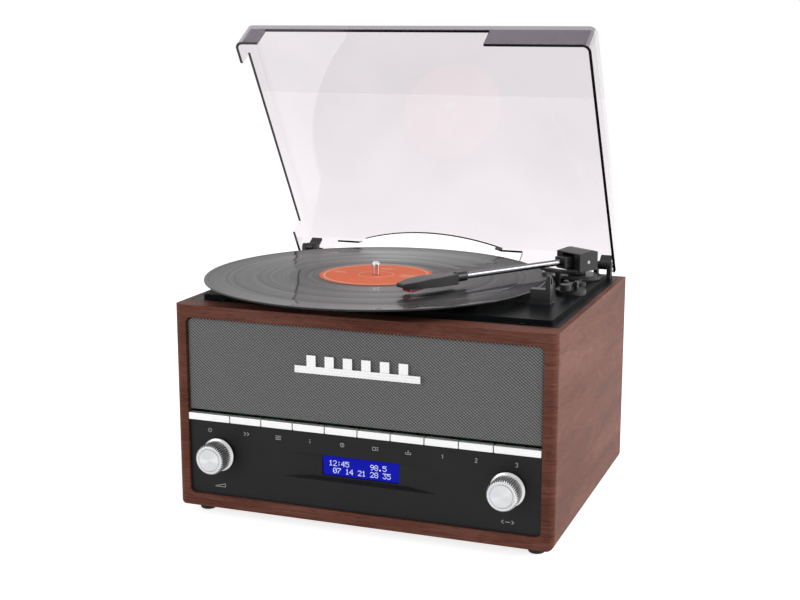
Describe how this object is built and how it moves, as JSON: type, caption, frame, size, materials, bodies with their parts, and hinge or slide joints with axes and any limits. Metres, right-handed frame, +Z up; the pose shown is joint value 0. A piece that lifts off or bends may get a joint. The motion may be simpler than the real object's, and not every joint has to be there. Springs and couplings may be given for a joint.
{
  "type": "stereo music centre",
  "caption": "Wooden stereo music centre: record deck with tonearm and hinged smoked cover over a speaker grille, push keys, display and two knobs.",
  "frame": {"origin": "middle of the part's outer box at the floor, with the dust cover open as drawn; z=0 is the underside of the feet", "axes": "+X right, +Y back, +Z up; the controls face -Y"},
  "size_m": [0.3454, 0.301, 0.4112],
  "materials": {
    "wood": "satin walnut veneer",
    "black_plastic": "matte",
    "dark_plastic": "satin",
    "silver_plastic": "brushed",
    "steel": "satin",
    "chrome": "bright",
    "brass": "satin",
    "rubber": "matte",
    "grille_cloth": "woven",
    "board": "printed circuit board",
    "backboard": "black hardboard",
    "vinyl": "grooved",
    "label": "paper",
    "display": "lit blue",
    "smoked": "smoked clear",
    "copper": "lacquer",
    "cartridge": "red"
  },
  "bodies": {
    "cabinet": {"cabinet_shell": "wood", "base_panel": "backboard", "rear_panel": "backboard", "case_screws": "steel", "feet": "rubber", "front_baffle": "backboard", "speaker_grille": "grille_cloth", "badge_bar": "silver_plastic", "fascia": "black_plastic", "display_window": "display", "display_module": "board", "control_board": "board", "key_switches": "dark_plastic", "volume_encoder": "dark_plastic", "tune_encoder": "dark_plastic", "driver_left": "steel", "driver_right": "steel", "driver_cones": "dark_plastic", "main_board": "board", "power_supply": "copper", "rear_sockets": "dark_plastic", "deck_plate": "dark_plastic", "spindle_bearing": "brass", "drive_motor": "steel", "drive_belt": "rubber", "tonearm_base": "dark_plastic", "arm_rest": "black_plastic", "cue_base": "dark_plastic", "hinge_left": "black_plastic", "hinge_right": "black_plastic"},
    "volume_knob": {"volume_knob": "silver_plastic"},
    "tune_push": {"tune_shaft": "steel"},
    "tune_knob": {"tune_knob": "silver_plastic"},
    "key_01": {"key_01": "silver_plastic"},
    "key_02": {"key_02": "silver_plastic"},
    "key_03": {"key_03": "silver_plastic"},
    "key_04": {"key_04": "silver_plastic"},
    "key_05": {"key_05": "silver_plastic"},
    "key_06": {"key_06": "silver_plastic"},
    "key_07": {"key_07": "silver_plastic"},
    "key_08": {"key_08": "silver_plastic"},
    "key_09": {"key_09": "silver_plastic"},
    "key_10": {"key_10": "silver_plastic"},
    "platter": {"spindle": "chrome", "platter": "silver_plastic", "platter_mat": "rubber", "vinyl_record": "vinyl", "record_label": "label"},
    "motor_pulley": {"motor_pulley": "brass"},
    "tonearm_yoke": {"tonearm_yoke": "dark_plastic"},
    "tonearm": {"arm_pivot_pin": "steel", "tonearm_tube": "chrome", "headshell": "black_plastic", "cartridge": "cartridge"},
    "arm_clip": {"arm_clip": "dark_plastic"},
    "cue_lever": {"cue_lever": "dark_plastic"},
    "lift_bar": {"lift_bar": "dark_plastic"},
    "speed_selector": {"speed_selector": "dark_plastic"},
    "dust_cover": {"dust_cover": "smoked", "hinge_leaves": "black_plastic"}
  },
  "joints": [
    {"name": "cover_hinge", "type": "hinge", "parent": "cabinet", "child": "dust_cover", "pos_m": [0.00775, 0.12, 0.195], "axis": [1, 0, 0], "range_deg": [0, 58]},
    {"name": "platter_spin", "type": "hinge", "parent": "cabinet", "child": "platter", "pos_m": [-0.02225, 0, 0.188], "axis": [0, 0, 1], "continuous": true},
    {"name": "motor_spin", "type": "hinge", "parent": "cabinet", "child": "motor_pulley", "pos_m": [-0.07811, 0.05586, 0.183], "axis": [0, 0, 1], "continuous": true},
    {"name": "tonearm_swing", "type": "hinge", "parent": "cabinet", "child": "tonearm_yoke", "pos_m": [0.13675, 0.091, 0.2035], "axis": [0, 0, 1], "range_deg": [-9, 33]},
    {"name": "tonearm_lift", "type": "hinge", "parent": "tonearm_yoke", "child": "tonearm", "pos_m": [0.13675, 0.091, 0.2035], "axis": [-0.8387, 0.5446, 0], "range_deg": [0, 2.6]},
    {"name": "cue_lever_turn", "type": "hinge", "parent": "cabinet", "child": "cue_lever", "pos_m": [0.14875, 0.019, 0.195], "axis": [-1, 0, 0], "range_deg": [0, 36]},
    {"name": "lift_bar_rise", "type": "slide", "parent": "cabinet", "child": "lift_bar", "axis": [0, 0, 1], "range_m": [0, 0.0024]},
    {"name": "speed_turn", "type": "hinge", "parent": "cabinet", "child": "speed_selector", "pos_m": [0.14875, 0.049, 0.187], "axis": [0, 0, 1], "range_deg": [-30, 30]},
    {"name": "arm_clip_turn", "type": "hinge", "parent": "cabinet", "child": "arm_clip", "pos_m": [0.14325, -0.035, 0.207], "axis": [0, -1, 0], "range_deg": [0, 40]},
    {"name": "volume_turn", "type": "hinge", "parent": "cabinet", "child": "volume_knob", "pos_m": [-0.11925, -0.12, 0.055], "axis": [0, -1, 0], "continuous": true},
    {"name": "tune_press", "type": "slide", "parent": "cabinet", "child": "tune_push", "axis": [0, 1, 0], "range_m": [0, 0.001], "stiffness_N_per_m": 1500},
    {"name": "tune_turn", "type": "hinge", "parent": "tune_push", "child": "tune_knob", "pos_m": [0.13475, -0.12, 0.055], "axis": [0, -1, 0], "continuous": true},
    {"name": "key_01_press", "type": "slide", "parent": "cabinet", "child": "key_01", "axis": [0, 1, 0], "range_m": [0, 0.0015], "stiffness_N_per_m": 600},
    {"name": "key_02_press", "type": "slide", "parent": "cabinet", "child": "key_02", "axis": [0, 1, 0], "range_m": [0, 0.0015], "stiffness_N_per_m": 600},
    {"name": "key_03_press", "type": "slide", "parent": "cabinet", "child": "key_03", "axis": [0, 1, 0], "range_m": [0, 0.0015], "stiffness_N_per_m": 600},
    {"name": "key_04_press", "type": "slide", "parent": "cabinet", "child": "key_04", "axis": [0, 1, 0], "range_m": [0, 0.0015], "stiffness_N_per_m": 600},
    {"name": "key_05_press", "type": "slide", "parent": "cabinet", "child": "key_05", "axis": [0, 1, 0], "range_m": [0, 0.0015], "stiffness_N_per_m": 600},
    {"name": "key_06_press", "type": "slide", "parent": "cabinet", "child": "key_06", "axis": [0, 1, 0], "range_m": [0, 0.0015], "stiffness_N_per_m": 600},
    {"name": "key_07_press", "type": "slide", "parent": "cabinet", "child": "key_07", "axis": [0, 1, 0], "range_m": [0, 0.0015], "stiffness_N_per_m": 600},
    {"name": "key_08_press", "type": "slide", "parent": "cabinet", "child": "key_08", "axis": [0, 1, 0], "range_m": [0, 0.0015], "stiffness_N_per_m": 600},
    {"name": "key_09_press", "type": "slide", "parent": "cabinet", "child": "key_09", "axis": [0, 1, 0], "range_m": [0, 0.0015], "stiffness_N_per_m": 600},
    {"name": "key_10_press", "type": "slide", "parent": "cabinet", "child": "key_10", "axis": [0, 1, 0], "range_m": [0, 0.0015], "stiffness_N_per_m": 600}
  ],
  "couplings": [
    {"joint": "motor_spin", "follows": "platter_spin", "ratio": 12.207},
    {"joint": "lift_bar_rise", "follows": "cue_lever_turn", "m_per_rad": 0.0031821},
    {"joint": "tonearm_lift", "follows": "cue_lever_turn", "ratio": 0.062499}
  ]
}
